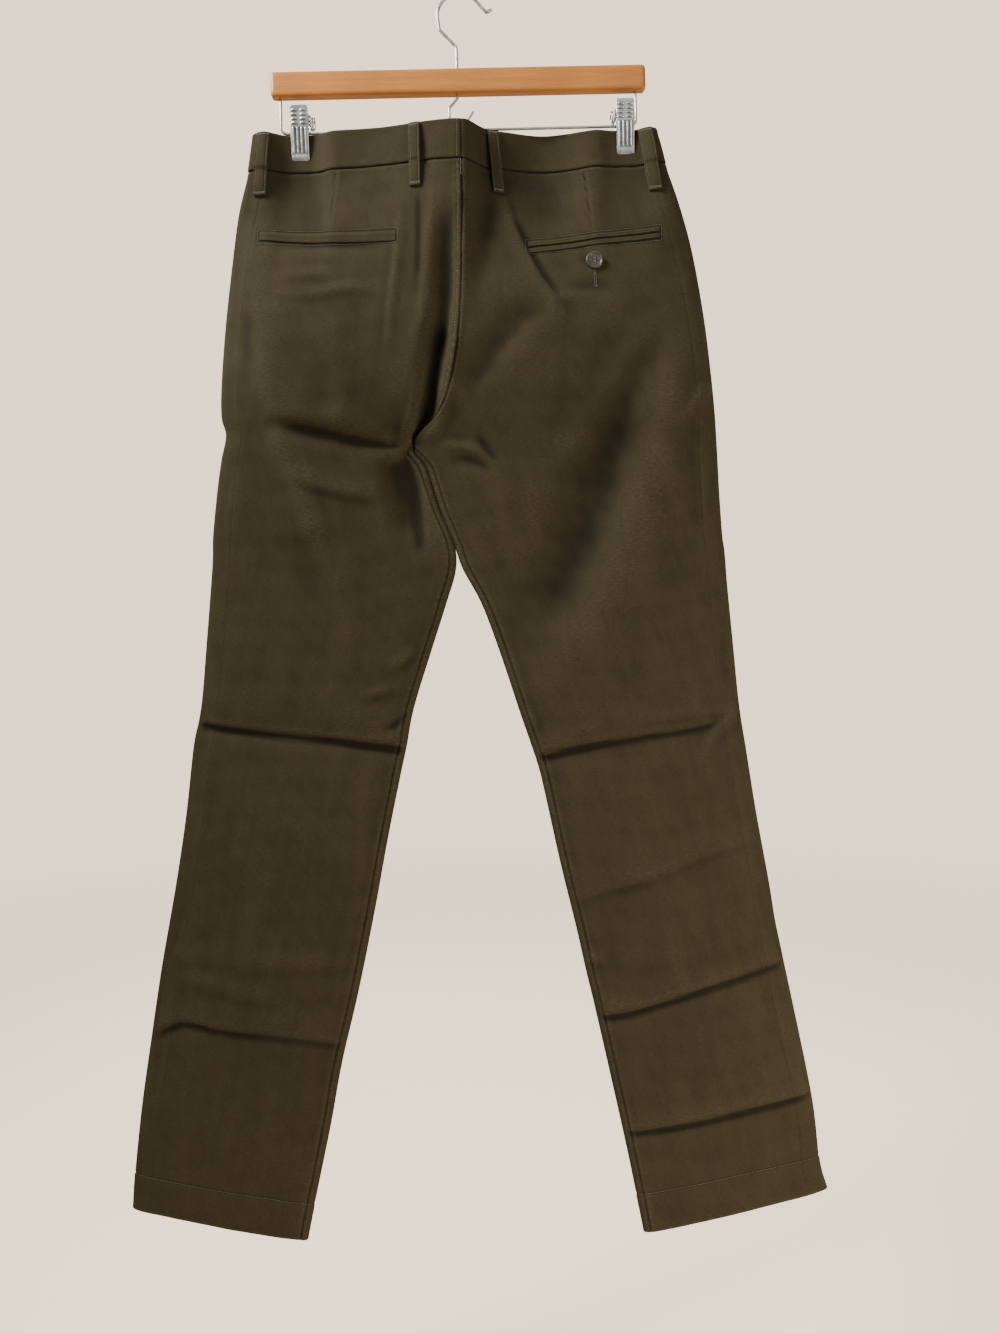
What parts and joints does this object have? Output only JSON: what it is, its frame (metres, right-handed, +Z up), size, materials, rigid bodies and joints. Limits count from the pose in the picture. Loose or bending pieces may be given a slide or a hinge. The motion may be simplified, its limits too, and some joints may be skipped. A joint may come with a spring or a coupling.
{
  "type": "chino trousers on a clip hanger",
  "caption": "Dark olive cotton twill chino trousers hung by the waistband in the clips of a wooden bar hanger, seat side to the front, legs straight and flat.",
  "frame": {"origin": "inner top of the hanger's hook, where it rests on a clothes rail; +Z up", "axes": "+Z up; -Y faces the viewer, the seat side of the trousers; +Y the fly side; +X the wearer's right, along the hanger's bar"},
  "size_m": [0.694, 0.0558, 1.2432],
  "materials": {
    "olive_twill": "dark olive-brown cotton twill, matte with a fine diagonal rib",
    "horn_button": "grey-brown horn-effect resin, satin",
    "honey_wood": "honey-stained wood, clear varnish",
    "zinc_plated_steel": "bright zinc plate, slightly soft shine"
  },
  "bodies": {
    "root": {"back_panel_left": "olive_twill", "back_panel_right": "olive_twill", "back_pocket_button": "horn_button", "back_pocket_lower_welt_right": "olive_twill", "back_pocket_upper_welt_right": "olive_twill", "back_pocket_welt_left": "olive_twill", "belt_loop_back_left": "olive_twill", "belt_loop_back_right": "olive_twill", "belt_loop_front_left": "olive_twill", "belt_loop_front_right": "olive_twill", "belt_loop_side_left": "olive_twill", "belt_loop_side_right": "olive_twill", "clip_left_outer_jaw": "zinc_plated_steel", "clip_left_spring": "zinc_plated_steel", "clip_left_wall_jaw": "zinc_plated_steel", "clip_rail": "zinc_plated_steel", "clip_right_outer_jaw": "zinc_plated_steel", "clip_right_spring": "zinc_plated_steel", "clip_right_wall_jaw": "zinc_plated_steel", "fly_placket": "olive_twill", "front_panel_left": "olive_twill", "front_panel_right": "olive_twill", "front_pocket_edge_left": "olive_twill", "front_pocket_edge_right": "olive_twill", "hanger_bar": "honey_wood", "hanger_hook": "zinc_plated_steel", "hem_left": "olive_twill", "hem_right": "olive_twill", "small_hook": "zinc_plated_steel", "waist_button": "horn_button", "waistband_left": "olive_twill", "waistband_right": "olive_twill"}
  },
  "joints": []
}
